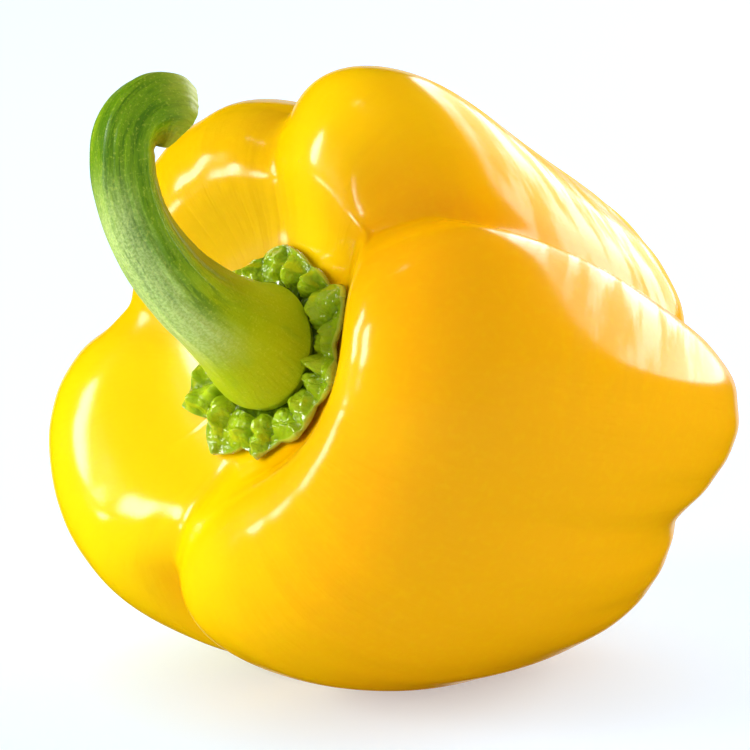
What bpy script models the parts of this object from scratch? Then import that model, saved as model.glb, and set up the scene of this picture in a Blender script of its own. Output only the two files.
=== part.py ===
"""A blocky bell pepper lying on its side: the fruit, its calyx and its stem.

Run with: blender --background --python part.py
The scene is in metres with +Z up. Every size named below is in millimetres and every angle in degrees.

The pepper has a frame of its own: its axis runs from the tail to the stem, and angles go round that axis,
with 0 facing the front and 90 facing up. The last step lays the pepper down with its stem end raised.
"""
import math
from collections import namedtuple

import bmesh
import bpy
import numpy as np

MM = 0.001

# The lie of the pepper
AXIS_TILT = 15.0
REST_CUT = 0.8

# Play between two pieces that touch
GAP = 0.45

# The mean outline of the fruit from the stem end to the tail: distance from the axis, place along it
OUTLINE = (
    (0.0, 27.0), (6.0, 27.0), (12.0, 27.5), (17.0, 30.0), (23.0, 33.5),
    (31.0, 33.0), (38.5, 26.0), (43.0, 13.0), (43.5, -2.0), (41.0, -17.0),
    (37.0, -31.0), (28.0, -42.0), (14.0, -42.0), (5.0, -34.0), (0.0, -33.0),
)
# Places on that outline, counted in its points: the dimple's floor, which is round, and then the places where
# the lobes state how far they reach
FLOOR, FOOT, RIM, SHOULDER, BELLY, TAIL = 2.0, 3.0, 4.0, 6.0, 8.5, 11.0

# Each lobe: the angle of its crest at the stem end and at the tail, how far it reaches at the foot of the
# dimple's wall, at the rim, shoulder, belly and tail as a share of the outline, how much its rim rises, how
# much the brow of its shoulder rises and how much its tail drops
Lobe = namedtuple("Lobe", "stem_angle tail_angle foot rim shoulder belly tail rise brow drop")
LOBES = (
    Lobe(14.0, -4.0, 1.08, 0.96, 1.05, 1.02, 1.03, 7.5, 1.5, 4.8),
    Lobe(73.0, 62.0, 0.98, 0.96, 1.135, 0.84, 0.86, 3.0, 0.5, 4.0),
    Lobe(126.0, 126.0, 0.98, 0.98, 1.04, 0.93, 0.88, 1.5, 1.2, 0.0),
    Lobe(220.0, 225.0, 1.04, 1.06, 1.085, 1.165, 1.01, -0.6, 4.2, 0.0),
    Lobe(296.0, 304.0, 0.90, 0.80, 0.96, 0.995, 1.02, 3.8, 2.6, 4.0),
)
# Each groove: its angle at the rim, shoulder and tail, its depth at the rim, shoulder, belly and tail, and
# the distance in which it fades towards the smaller angles and towards the larger ones
Groove = namedtuple("Groove", "angle_rim angle_shoulder angle_tail rim shoulder belly tail before after")
GROOVES = (
    Groove(49.0, 44.0, 20.0, 6.0, 10.0, 7.0, 7.0, 5.0, 14.0),
    Groove(92.0, 101.0, 118.0, 4.0, 7.5, 4.0, 6.0, 6.0, 9.0),
    Groove(172.0, 171.0, 178.0, 7.0, 16.0, 10.0, 7.0, 13.0, 9.5),
    Groove(258.0, 251.0, 273.0, 4.0, 8.5, 4.5, 11.0, 6.0, 6.0),
    Groove(341.0, 341.0, 336.0, 0.0, 1.5, 2.0, 8.0, 11.0, 11.0),
)
GROOVE_ROUNDING = 1.6
# Faces from a crest to the next groove, and how much narrower they get towards the groove
SPAN_FACES = 10
SPAN_EASING = 1.3
FRUIT_RINGS = 44

# The calyx: a collar of radial folds with pointed teeth, on a flat seat for the stem
CALYX_CENTRE = (1.8, 1.4)
SEAT_RADIUS = 9.85
SEAT_HEIGHT = 28.4
SEAT_UNDERSIDE = 27.4
CALYX_NOTCH = 13.0
TOOTH_WIDTH = 20.0
Tooth = namedtuple("Tooth", "angle radius")
TEETH = (
    Tooth(32.0, 18.5), Tooth(95.0, 14.6), Tooth(150.0, 14.4), Tooth(216.0, 16.6),
    Tooth(246.0, 17.0), Tooth(277.0, 15.2), Tooth(312.0, 15.5), Tooth(350.0, 16.5),
)
FOLDS = 22
FOLD_HEIGHT = 1.3
LEAF_THICKNESS = 1.1
RIM_LIFT = 1.0
CALYX_SIDES = 132
CALYX_ROWS = np.array([0.0, 0.12, 0.3, 0.5, 0.7, 0.88, 1.0])
SLOPE_WINDOW = 17
TABLE_ANGLES = 360
TABLE_RADII = np.linspace(0.0, 27.0, 136)

# The stem, as stations along its middle line: across, up, along the axis, and radius
STEM_LINE = (
    (1.8, 1.4, 28.85, 8.95), (2.3, 2.1, 31.8, 8.1), (3.1, 3.8, 37.4, 6.6), (3.15, 6.4, 45.5, 5.3),
    (2.3, 10.0, 51.8, 4.6), (1.1, 14.7, 56.3, 4.2), (0.2, 19.2, 58.7, 4.05), (-0.2, 22.8, 59.6, 4.0),
    (-0.3, 25.4, 59.7, 4.05), (-0.2, 27.8, 58.6, 4.2), (0.1, 29.3, 56.5, 4.5), (0.5, 29.5, 54.2, 4.65),
    (0.8, 29.0, 52.6, 4.3),
)
# How many rings each ring's turn is averaged over, which keeps them apart inside the bend
TURN_WINDOW = 5
STEM_RIDGES = 5
RIDGE_SHARE = 0.045
DISH_DEPTH = 0.9
STEM_SIDES = 30
STEM_RINGS = 34

SKIN_YELLOW = (0.95, 0.62, 0.0, 1.0)
STEM_GREEN = (0.20, 0.36, 0.03, 1.0)
CALYX_GREEN = (0.25, 0.48, 0.05, 1.0)


def clear_scene():
    """Remove every object that the scene starts with."""
    for thing in list(bpy.data.objects):
        bpy.data.objects.remove(thing, do_unlink=True)


def make_material(name, colour, roughness):
    """Return a Principled material with one colour and one roughness."""
    material = bpy.data.materials.new(name)
    material.use_nodes = True
    shader = material.node_tree.nodes["Principled BSDF"]
    shader.inputs["Base Color"].default_value = colour
    shader.inputs["Roughness"].default_value = roughness
    return material


def smooth_curve(points, place):
    """Return a uniform cubic B-spline through rows of control points, read at places from 0 to 1.

    The ends are mirrored across the axis, so the first number of a pair meets it squarely and smoothly.
    """
    mirror = np.array([-1.0, 1.0])
    first = points[..., 1:2, :] * mirror
    last = points[..., -2:-1, :] * mirror
    control = np.concatenate([first, points, last], axis=-2)
    spans = points.shape[-2] - 1
    reading = np.clip(place * spans, 0.0, spans - 1e-9)
    span = reading.astype(int)
    f = reading - span
    weights = ((1 - f) ** 3, 3 * f**3 - 6 * f**2 + 4, -3 * f**3 + 3 * f**2 + 3 * f + 1, f**3)
    return sum(w[:, None] * control[..., span + j, :] for j, w in enumerate(weights)) / 6.0


def smooth_number(values, place):
    """Return one row of numbers as a smooth curve, read at places from 0 to 1."""
    values = np.asarray(values, float)
    pairs = np.stack([np.zeros_like(values), values], axis=-1)
    return smooth_curve(pairs, place)[:, 1]


def turned_on(angle, other):
    """Return the turn from one angle on to another in radians, from minus half a turn to half a turn."""
    return np.mod(angle - other + math.pi, 2 * math.pi) - math.pi


def between_lobes(angle, crests, values):
    """Blend one number per lobe round the axis, flat on each crest."""
    order = np.argsort(np.mod(crests, 2 * math.pi))
    crests = np.mod(crests, 2 * math.pi)[order]
    values = np.asarray(values, float)[order]
    crests = np.concatenate([crests, crests[:1] + 2 * math.pi])
    values = np.concatenate([values, values[:1]])
    turned = crests[0] + np.mod(angle - crests[0], 2 * math.pi)
    lobe = np.clip(np.searchsorted(crests, turned, side="right") - 1, 0, len(LOBES) - 1)
    share = (turned - crests[lobe]) / (crests[lobe + 1] - crests[lobe])
    share = share * share * (3 - 2 * share)
    return values[lobe] * (1 - share) + values[lobe + 1] * share


def crest_angle(lobe, count):
    """Return the angle of a lobe's crest at places counted in the outline's points, in radians."""
    return np.radians(np.interp(count, (RIM, RIM + 8.0), (lobe.stem_angle, lobe.tail_angle)))


def groove_angle(groove, place):
    """Return the angle of a groove at places from 0 to 1, in radians."""
    angles = (groove.angle_rim, groove.angle_shoulder, groove.angle_tail)
    angles = np.interp(np.arange(len(OUTLINE)), (FOOT, SHOULDER, 11.5), angles)
    return np.radians(smooth_number(angles, place))


def lobed_outline(angle):
    """Return the outline's control points for each angle, pushed out or in by the lobes."""
    control = np.zeros((len(angle), len(OUTLINE), 2))
    for count, (radius, height) in enumerate(OUTLINE):
        crests = np.array([crest_angle(lobe, count) for lobe in LOBES])
        reach = np.interp(count, (FLOOR, FOOT), (1.0, 0.0))
        for stage, name in enumerate(("foot", "rim", "shoulder", "belly", "tail"), start=1):
            share = np.interp(count, (FLOOR, FOOT, RIM, SHOULDER, BELLY, TAIL), np.eye(6)[stage])
            reach = reach + share * between_lobes(angle, crests, [getattr(lobe, name) for lobe in LOBES])
        rise = np.interp(count, (FLOOR, FOOT, RIM, SHOULDER, 8), (0.0, 0.15, 1.0, 0.6, 0.0))
        brow = np.interp(count, (RIM, 5, SHOULDER, 7, 8), (0.0, 0.5, 1.0, 0.35, 0.0))
        drop = np.interp(count, (8, 11, 12, 14), (0.0, 1.0, 1.0, 0.0))
        control[:, count, 0] = radius * reach
        control[:, count, 1] = (
            height
            + rise * between_lobes(angle, crests, [lobe.rise for lobe in LOBES])
            + brow * between_lobes(angle, crests, [lobe.brow for lobe in LOBES])
            - drop * between_lobes(angle, crests, [lobe.drop for lobe in LOBES])
        )
    return control


def groove_depth(angle, place, radius):
    """Return how deep the grooves press in at each angle and place along the outline."""
    counts = np.arange(len(OUTLINE))
    sink = np.zeros_like(radius)
    for groove in GROOVES:
        depths = (0.0, groove.rim, groove.shoulder, groove.belly, groove.tail, 0.0)
        depth = smooth_number(np.interp(counts, (1.6, RIM, SHOULDER, BELLY, TAIL, 14.0), depths), place)
        turn = turned_on(angle[:, None], groove_angle(groove, place))
        away = np.hypot(turn * np.maximum(radius, 1.0), GROOVE_ROUNDING) - GROOVE_ROUNDING
        sink += depth * np.exp(-away / np.where(turn < 0, groove.before, groove.after))
    return sink


def fruit_surface(angle, place):
    """Return points of the fruit's skin in the pepper's frame, for angles by places from 0 to 1."""
    profile = smooth_curve(lobed_outline(angle), place)
    step = np.gradient(profile, axis=1)
    outward = np.stack([-step[..., 1], step[..., 0]], axis=-1)
    outward /= np.linalg.norm(outward, axis=-1, keepdims=True)
    profile = profile - outward * groove_depth(angle, place, profile[..., 0])[..., None]
    across = profile[..., 0] * np.cos(angle)[:, None]
    up = profile[..., 0] * np.sin(angle)[:, None]
    return np.stack([across, up, profile[..., 1]], axis=-1)


def column_angles(place):
    """Return the angles of the fruit's columns of points: they run along every crest and every groove."""
    lines = []
    for lobe, groove in zip(LOBES, GROOVES):
        lines.append(crest_angle(lobe, place * (len(OUTLINE) - 1)))
        lines.append(groove_angle(groove, place))
    lines = np.unwrap(np.array(lines + lines[:1]), axis=0)
    step = np.arange(SPAN_FACES)[:, None] / SPAN_FACES
    columns = []
    for side in range(0, len(lines) - 1, 2):
        crest, groove, next_crest = lines[side : side + 3]
        columns.append(groove + (crest - groove) * (1 - step) ** SPAN_EASING)
        columns.append(groove + (next_crest - groove) * step**SPAN_EASING)
    return np.concatenate(columns)


def fruit_columns(place):
    """Return points of the fruit's skin by column and place, read off even angles."""
    even = np.linspace(0.0, 2 * math.pi, 2 * TABLE_ANGLES + 1)
    skin = fruit_surface(even, place)
    turned = np.mod(column_angles(place), 2 * math.pi)
    columns = np.empty((len(turned), len(place), 3))
    for row in range(len(place)):
        for axis in range(3):
            columns[:, row, axis] = np.interp(turned[:, row], even, skin[:, row, axis])
    return columns


def lay_down(points):
    """Turn points from the pepper's frame to the world's in metres: axis towards -X, raised by the tilt."""
    tilt = math.radians(AXIS_TILT)
    front = np.array([0.0, -1.0, 0.0])
    top = np.array([math.sin(tilt), 0.0, math.cos(tilt)])
    stemward = np.array([-math.cos(tilt), 0.0, math.sin(tilt)])
    return (points[..., :1] * front + points[..., 1:2] * top + points[..., 2:] * stemward) * MM


def closed_solid(name, start, rings, end, material):
    """Make one closed object from a start point, rings of points and an end point, with faces outward."""
    count, sides = rings.shape[0], rings.shape[1]
    corners = np.concatenate([start[None], rings.reshape(-1, 3), end[None]])
    mesh = bpy.data.meshes.new(name)
    solid = bmesh.new()
    verts = [solid.verts.new(corner) for corner in lay_down(corners)]
    for side in range(sides):
        after = (side + 1) % sides
        solid.faces.new((verts[0], verts[1 + side], verts[1 + after]))
        for ring in range(count - 1):
            near, far = 1 + ring * sides, 1 + (ring + 1) * sides
            solid.faces.new((verts[near + side], verts[far + side], verts[far + after], verts[near + after]))
        last = 1 + (count - 1) * sides
        solid.faces.new((verts[last + side], verts[-1], verts[last + after]))
    bmesh.ops.recalc_face_normals(solid, faces=solid.faces)
    if solid.calc_volume(signed=True) < 0:
        bmesh.ops.reverse_faces(solid, faces=solid.faces)
    solid.to_mesh(mesh)
    solid.free()
    mesh.materials.append(material)
    thing = bpy.data.objects.new(name, mesh)
    bpy.context.scene.collection.objects.link(thing)
    for face in mesh.polygons:
        face.use_smooth = True
    return thing


def lowest(thing):
    """Return the height of the object's lowest point."""
    return min(vertex.co.z for vertex in thing.data.vertices)


def cut_flat(thing, height):
    """Take away what is below a height, so the object can rest on the flats that are left."""
    bpy.ops.mesh.primitive_cube_add(size=0.2, location=(0.0, 0.0, height - 0.1))
    cutter = bpy.context.object
    cutter.name = "rest_cutter"
    cutter.hide_render = True
    cutter.display_type = "WIRE"
    cut = thing.modifiers.new("rest flats", "BOOLEAN")
    cut.operation = "DIFFERENCE"
    cut.solver = "EXACT"
    cut.object = cutter
    bpy.context.view_layer.objects.active = thing
    bpy.ops.object.modifier_apply(modifier=cut.name)
    bpy.data.objects.remove(cutter, do_unlink=True)


def make_fruit():
    """Make the fruit with its rest flats."""
    skin = fruit_columns(np.linspace(0.0, 1.0, FRUIT_RINGS + 2))
    rings = skin[:, 1:-1].transpose(1, 0, 2)
    material = make_material("pepper_skin", SKIN_YELLOW, 0.25)
    fruit = closed_solid("fruit", skin[0, 0], rings, skin[0, -1], material)
    cut_flat(fruit, lowest(fruit) + REST_CUT * MM)
    return fruit


def dimple_table():
    """Return the height of the fruit's skin near the stem, for even angles by TABLE_RADII."""
    angles = np.linspace(0.0, 2 * math.pi, TABLE_ANGLES, endpoint=False)
    skin = fruit_surface(angles, np.linspace(0.0, 0.42, 240))
    radius = np.maximum.accumulate(np.hypot(skin[..., 0], skin[..., 1]), axis=1)
    return np.array([np.interp(TABLE_RADII, radius[row], skin[row, :, 2]) for row in range(TABLE_ANGLES)])


def skin_height(table, across, up):
    """Return the height of the fruit's skin along the axis at points across and up, read from the table."""
    turn = np.mod(np.arctan2(up, across), 2 * math.pi) / (2 * math.pi) * TABLE_ANGLES
    reading = np.clip(np.hypot(across, up) / TABLE_RADII[1], 0.0, len(TABLE_RADII) - 1.001)
    row, column = turn.astype(int) % TABLE_ANGLES, reading.astype(int)
    after = (row + 1) % TABLE_ANGLES
    f, g = turn - np.floor(turn), reading - column
    near = table[row, column] * (1 - g) + table[row, column + 1] * g
    far = table[after, column] * (1 - g) + table[after, column + 1] * g
    return near * (1 - f) + far * f


def calyx_edge(angle):
    """Return the radius of the calyx at each angle: an even edge with pointed teeth."""
    edge = np.full_like(angle, CALYX_NOTCH)
    for tooth in TEETH:
        away = np.abs(turned_on(angle, math.radians(tooth.angle))) / math.radians(TOOTH_WIDTH)
        edge = np.maximum(edge, CALYX_NOTCH + (tooth.radius - CALYX_NOTCH) * np.clip(1 - away, 0.0, 1.0))
    return edge


def dimple_rays(angle, reach):
    """Follow the skin outward from the calyx's middle.

    For each angle and each distance walked along the skin, return the flat radius, the height along the
    axis and the slope.
    """
    table = dimple_table()
    radius = np.linspace(0.0, 24.0, 241)
    across = CALYX_CENTRE[0] + radius * np.cos(angle)[:, None]
    up = CALYX_CENTRE[1] + radius * np.sin(angle)[:, None]
    height = skin_height(table, across, up)
    slope = np.gradient(height, radius, axis=1)
    window = np.ones(SLOPE_WINDOW) / SLOPE_WINDOW
    walked = np.cumsum(np.hypot(1.0, slope), axis=1) * radius[1]
    rays = []
    for ray in range(len(angle)):
        even = np.convolve(np.pad(slope[ray], SLOPE_WINDOW // 2, mode="edge"), window, mode="valid")
        rays.append([np.interp(reach[:, ray], walked[ray], row) for row in (radius, height[ray], even)])
    return np.array(rays).transpose(1, 2, 0)


def smooth_step(value, low, high):
    """Return 0 below low, 1 above high and a smooth rise between them."""
    share = np.clip((value - low) / (high - low), 0.0, 1.0)
    return share * share * (3 - 2 * share)


def raised(angle, rays, height):
    """Return points raised off the skin by a height, square to it."""
    radius, skin, slope = rays
    length = np.hypot(1.0, slope)
    out = radius - height * slope / length
    return np.stack(
        [
            CALYX_CENTRE[0] + out * np.cos(angle),
            CALYX_CENTRE[1] + out * np.sin(angle),
            skin + height / length,
        ],
        axis=-1,
    )


def make_calyx():
    """Make the calyx as one closed leaf that follows the dimple of the fruit."""
    angle = np.linspace(0.0, 2 * math.pi, CALYX_SIDES, endpoint=False)
    edge = calyx_edge(angle)
    reach = SEAT_RADIUS + (edge - SEAT_RADIUS) * CALYX_ROWS[:, None]
    leaf_share = np.broadcast_to(CALYX_ROWS[:, None], reach.shape)
    rays = dimple_rays(angle, reach)
    under = GAP + RIM_LIFT * leaf_share
    fold = np.abs(np.cos(0.5 * FOLDS * angle + 0.4 * np.sin(3 * angle))) ** 0.7
    swell = np.sin(math.pi * leaf_share) ** 0.5 * 0.85 + 0.15
    over = under + LEAF_THICKNESS * (1.0 - 0.45 * leaf_share) + FOLD_HEIGHT * fold * swell
    top = raised(angle, rays, over)
    bottom = raised(angle, rays, under)
    seat = np.empty((2, CALYX_SIDES, 3))
    for row, radius in enumerate((0.5 * SEAT_RADIUS, SEAT_RADIUS - 0.3)):
        seat[row, :, 0] = CALYX_CENTRE[0] + radius * np.cos(angle)
        seat[row, :, 1] = CALYX_CENTRE[1] + radius * np.sin(angle)
        seat[row, :, 2] = SEAT_HEIGHT
    under_seat = seat[:1].copy()
    under_seat[..., 2] = SEAT_UNDERSIDE
    centre = np.array([CALYX_CENTRE[0], CALYX_CENTRE[1], SEAT_HEIGHT])
    foot = np.array([CALYX_CENTRE[0], CALYX_CENTRE[1], SEAT_UNDERSIDE])
    rings = np.concatenate([seat, top, bottom[[6, 4, 2, 0]], under_seat])
    material = make_material("calyx_leaf", CALYX_GREEN, 0.35)
    return closed_solid("calyx", centre, rings, foot, material)


def through_points(points, count):
    """Return a smooth curve through stations, as count rows."""
    ends = np.concatenate([2 * points[:1] - points[1:2], points, 2 * points[-1:] - points[-2:-1]])
    spans = len(points) - 1
    reading = np.linspace(0.0, spans - 1e-9, count)
    span = reading.astype(int)
    f = (reading - span)[:, None]
    p0, p1, p2, p3 = ends[span], ends[span + 1], ends[span + 2], ends[span + 3]
    bend = 2 * p0 - 5 * p1 + 4 * p2 - p3
    return 0.5 * (2 * p1 + (p2 - p0) * f + bend * f**2 + (3 * p1 - p0 - 3 * p2 + p3) * f**3)


def carried_frames(line):
    """Return the direction along a line and two across it, square to the seat at first and never twisted."""
    along = np.gradient(line, axis=0)
    along /= np.linalg.norm(along, axis=1, keepdims=True)
    held = np.pad(along, ((TURN_WINDOW // 2, TURN_WINDOW // 2), (0, 0)), mode="edge")
    along = sum(held[row:row + len(line)] for row in range(TURN_WINDOW))
    along /= np.linalg.norm(along, axis=1, keepdims=True)
    leaning = smooth_step(np.arange(len(line)), 0.0, 6.0)[:, None]
    along = np.array([0.0, 0.0, 1.0]) * (1 - leaning) + along * leaning
    along /= np.linalg.norm(along, axis=1, keepdims=True)
    side = np.zeros_like(line)
    side[0] = (1.0, 0.0, 0.0)
    for row in range(1, len(line)):
        carried = side[row - 1] - np.dot(side[row - 1], along[row]) * along[row]
        side[row] = carried / np.linalg.norm(carried)
    return along, side, np.cross(along, side)


def make_stem():
    """Make the stem: a swollen foot, a ridged bend and a flared cut end with a dish in it."""
    stations = through_points(np.array(STEM_LINE), STEM_RINGS)
    line, radius = stations[:, :3], stations[:, 3]
    along, side, other = carried_frames(line)
    turn = np.linspace(0.0, 2 * math.pi, STEM_SIDES, endpoint=False)
    grown = smooth_step(np.arange(STEM_RINGS), 2.0, 10.0)[:, None]
    ring_radius = radius[:, None] * (1 + RIDGE_SHARE * grown * np.cos(STEM_RIDGES * turn))
    spoke = np.cos(turn)[:, None] * side[:, None] + np.sin(turn)[:, None] * other[:, None]
    rings = line[:, None] + spoke * ring_radius[..., None]
    lip = line[-1] + (rings[-1] - line[-1]) * 0.7 - along[-1] * 0.5 * DISH_DEPTH
    rings = np.concatenate([rings, lip[None]])
    middle = line[-1] - along[-1] * DISH_DEPTH
    material = make_material("stem_skin", STEM_GREEN, 0.5)
    return closed_solid("stem", line[0], rings, middle, material)


def settle(things):
    """Move all objects together so they stand on the ground with the middle of their box over the origin."""
    corners = np.array([vertex.co for thing in things for vertex in thing.data.vertices])
    low, high = corners.min(axis=0), corners.max(axis=0)
    shift = -np.array([(low[0] + high[0]) / 2, (low[1] + high[1]) / 2, low[2]])
    for thing in things:
        for vertex in thing.data.vertices:
            vertex.co.x += shift[0]
            vertex.co.y += shift[1]
            vertex.co.z += shift[2]


def main():
    """Build the pepper."""
    clear_scene()
    settle([make_fruit(), make_calyx(), make_stem()])


main()
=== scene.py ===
"""The looks of a yellow bell pepper that lies on its side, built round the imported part.

The fruit, the calyx and the stem are finer forms of the part's three solids, from the same formulas.
Sizes are in millimetres and angles in degrees, in the pepper's own frame: its axis runs from the tail to
the stem, and angles go round that axis, with 0 facing the front and 90 facing up. The lie of the pepper
turns that frame into the scene's metres.
"""
import logging
import math
from dataclasses import dataclass
from enum import Enum
from typing import Any, NamedTuple

import bpy
import numpy as np
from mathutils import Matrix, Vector


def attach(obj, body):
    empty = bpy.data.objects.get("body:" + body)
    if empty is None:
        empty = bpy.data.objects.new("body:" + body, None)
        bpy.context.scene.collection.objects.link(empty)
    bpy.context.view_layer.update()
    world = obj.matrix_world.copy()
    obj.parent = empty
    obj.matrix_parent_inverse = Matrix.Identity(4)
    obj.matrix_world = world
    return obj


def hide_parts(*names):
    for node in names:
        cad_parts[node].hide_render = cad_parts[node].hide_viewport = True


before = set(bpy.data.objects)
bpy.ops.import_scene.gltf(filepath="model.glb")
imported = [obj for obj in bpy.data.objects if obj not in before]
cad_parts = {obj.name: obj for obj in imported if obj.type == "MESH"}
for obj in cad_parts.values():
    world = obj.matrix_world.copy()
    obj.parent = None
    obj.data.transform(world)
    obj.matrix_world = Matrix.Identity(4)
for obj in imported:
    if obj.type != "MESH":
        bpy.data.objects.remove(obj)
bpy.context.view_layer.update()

Array = np.ndarray
Colour = tuple[float, float, float, float]
Point = tuple[float, float, float]

MM = 0.001
FULL_TURN = 2 * math.pi
RELIEF_WAVES = 14
BODY = "root"
log = logging.getLogger("bell_pepper")


class Slot(Enum):
    """The part's material slots, by name; the finishes below build their own materials and don't read these.
    """

    SKIN = "pepper_skin"
    CALYX = "calyx_leaf"
    STEM = "stem_skin"


# Curves and soft random relief


def smooth_step(value: Array, low: Array | float, high: Array | float) -> Array:
    """Return 0 below low, 1 above high and a smooth rise between them: t²(3 − 2t)."""
    share = np.clip((value - low) / (high - low), 0.0, 1.0)
    return share * share * (3 - 2 * share)


def turned_on(angle: Array, other: Array | float) -> Array:
    """Return how far an angle is turned on from another, in radians from −π to π."""
    return np.mod(angle - other + math.pi, FULL_TURN) - math.pi


def unit(rows: Array) -> Array:
    """Return rows of numbers, each brought to a length of 1."""
    return rows / np.linalg.norm(rows, axis=-1, keepdims=True)


def cylinder(radius: Array | float, turn: Array, along: Array | float) -> Array:
    """Return points at distances from an axis, angles round it and places along it."""
    return np.stack(np.broadcast_arrays(radius * np.cos(turn), radius * np.sin(turn), along), axis=-1)


def smooth_curve(points: Array, place: Array) -> Array:
    """Return a uniform cubic B-spline through rows of control points, read at places from 0 to 1.

    Each span is the sum of four control points with the weights (1−f)³, 3f³−6f²+4, −3f³+3f²+3f+1
    and f³, over six. The ends are mirrored across the axis, so the first number meets it squarely.

    Args:
        points: Control points, in rows of (first number, second number).
        place: Places to read, from 0 to 1.

    Returns:
        One pair for each row and place.
    """
    mirror = np.array([-1.0, 1.0])
    control = np.concatenate([points[..., 1:2, :] * mirror, points, points[..., -2:-1, :] * mirror], axis=-2)
    spans = points.shape[-2] - 1
    reading = np.clip(place * spans, 0.0, spans - 1e-9)
    span = reading.astype(int)
    f = reading - span
    weights = ((1 - f) ** 3, 3 * f**3 - 6 * f**2 + 4, -3 * f**3 + 3 * f**2 + 3 * f + 1, f**3)
    return sum(w[:, None] * control[..., span + j, :] for j, w in enumerate(weights)) / 6.0


def smooth_number(values: Array, place: Array) -> Array:
    """Return evenly spaced numbers as a smooth curve, read at places from 0 to 1."""
    pairs = np.stack([np.zeros_like(values), values], axis=-1)
    return smooth_curve(pairs, place)[:, 1]


def through_stations(stations: Array, count: int) -> Array:
    """Return a smooth curve that passes through every station, a cubic between each two of them.

    Args:
        stations: Rows of numbers that the curve passes through.
        count: How many rows to return, evenly spaced by station.

    Returns:
        The curve's rows.
    """
    ends = np.concatenate([2 * stations[:1] - stations[1:2], stations, 2 * stations[-1:] - stations[-2:-1]])
    reading = np.linspace(0.0, len(stations) - 1 - 1e-9, count)
    span = reading.astype(int)
    f = (reading - span)[:, None]
    p0, p1, p2, p3 = (ends[span + j] for j in range(4))
    bend = 2 * p0 - 5 * p1 + 4 * p2 - p3
    return 0.5 * (2 * p1 + (p2 - p0) * f + bend * f**2 + (3 * p1 - p0 - 3 * p2 + p3) * f**3)


def soft_relief(points: Array, length: float, seed: int) -> Array:
    """Return a soft random height: the sum of sine waves of about one length in random directions.

    Args:
        points: Where to read it, as rows of three numbers.
        length: The waves' mean length, in the points' own unit.
        seed: Which random directions, lengths and starts to draw.

    Returns:
        Heights, mostly from −1 to 1.
    """
    draw = np.random.default_rng(seed)
    direction = unit(draw.normal(size=(RELIEF_WAVES, 3)))
    rate = FULL_TURN / (length * draw.uniform(0.7, 1.4, RELIEF_WAVES))
    start = draw.uniform(0.0, FULL_TURN, RELIEF_WAVES)
    height = np.zeros(points.shape[:-1])
    for way, speed, turn in zip(direction, rate, start):
        height += np.sin(points @ (way * speed) + turn)
    return height * math.sqrt(1.0 / RELIEF_WAVES)


# The lie of the pepper and its meshes


@dataclass(frozen=True)
class Lie:
    """How the pepper lies: its axis raised towards the stem, then shifted to where the part stands."""

    tilt: float = 15.0
    shift: Point = (5.235, -0.047, 42.5972)

    def world(self, points: Array) -> Array:
        """Turn points from the pepper's frame to the scene's, in metres.

        Args:
            points: Rows of across, up and along the axis, in millimetres.

        Returns:
            Rows of x, y and z in metres, none of them below the ground.
        """
        tilt = math.radians(self.tilt)
        front = np.array([0.0, -1.0, 0.0])
        top = np.array([math.sin(tilt), 0.0, math.cos(tilt)])
        stemward = np.array([-math.cos(tilt), 0.0, math.sin(tilt)])
        laid = points[..., :1] * front + points[..., 1:2] * top + points[..., 2:] * stemward
        laid = (laid + np.array(self.shift)) * MM
        laid[..., 2] = np.maximum(laid[..., 2], 0.0)
        return laid


def ring_faces(count: int, sides: int) -> tuple[Array, Array]:
    """Return the faces of a closed surface of rings with a single point at each end.

    Point 0 is the start, the rings follow one after another and the last point is the end.

    Args:
        count: How many rings.
        sides: How many points in each ring.

    Returns:
        The triangles of both ends, and the four-sided faces between rings.
    """
    side = np.arange(sides)
    after = (side + 1) % sides
    last = 1 + (count - 1) * sides
    start = np.stack([np.zeros(sides, int), 1 + side, 1 + after], axis=1)
    end = np.stack([last + side, np.full(sides, last + sides), last + after], axis=1)
    ring = 1 + sides * np.arange(count - 1)[:, None]
    quads = np.stack([ring + side, ring + sides + side, ring + sides + after, ring + after], axis=-1)
    return np.concatenate([start, end]), quads.reshape(-1, 4)


def closed_piece(
    name: str, start: Array, rings: Array, end: Array, lie: Lie, marks: dict[str, Array]
) -> bpy.types.Object:
    """Make one closed, smooth object from a start point, rings of points and an end point.

    Args:
        name: The object's name.
        start: The point that closes the first ring.
        rings: Points by ring and side, in the pepper's frame.
        end: The point that closes the last ring.
        lie: How the pepper lies.
        marks: Numbers or rows of three by ring and side, kept in the mesh for the finish to read.

    Returns:
        The object, at the origin, with its faces outward.
    """
    corners = lie.world(np.concatenate([start[None], rings.reshape(-1, 3), end[None]]))
    tris, quads = ring_faces(*rings.shape[:2])
    cut = np.concatenate([tris, quads[:, [0, 1, 2]], quads[:, [0, 2, 3]]])
    a, b, c = (corners[cut[:, j]] for j in range(3))
    if np.einsum("ij,ij->", a, np.cross(b, c)) < 0:
        tris, quads = tris[:, ::-1], quads[:, ::-1]
    mesh = bpy.data.meshes.new(name)
    mesh.from_pydata(corners, [], tris.tolist() + quads.tolist())
    mesh.polygons.foreach_set("use_smooth", np.ones(len(mesh.polygons), bool))
    for mark, values in marks.items():
        width = values.shape[2:]
        flat = values.reshape(-1, *width)
        near, far = values[0].mean(axis=0)[None], values[-1].mean(axis=0)[None]
        held = np.concatenate([near, flat, far]).astype(np.float32)
        kind, field_name = ("FLOAT_VECTOR", "vector") if width else ("FLOAT", "value")
        mesh.attributes.new(mark, kind, "POINT").data.foreach_set(field_name, held.ravel())
    piece = bpy.data.objects.new(name, mesh)
    bpy.context.scene.collection.objects.link(piece)
    return piece


def dress(piece: bpy.types.Object, material: bpy.types.Material, node: str) -> None:
    """Give a piece its finish, and let it stand for a node of the part.

    Args:
        piece: The object.
        material: Its finish.
        node: The node that it stands for.
    """
    piece.data.materials.append(material)
    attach(piece, BODY)
    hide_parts(node)


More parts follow.
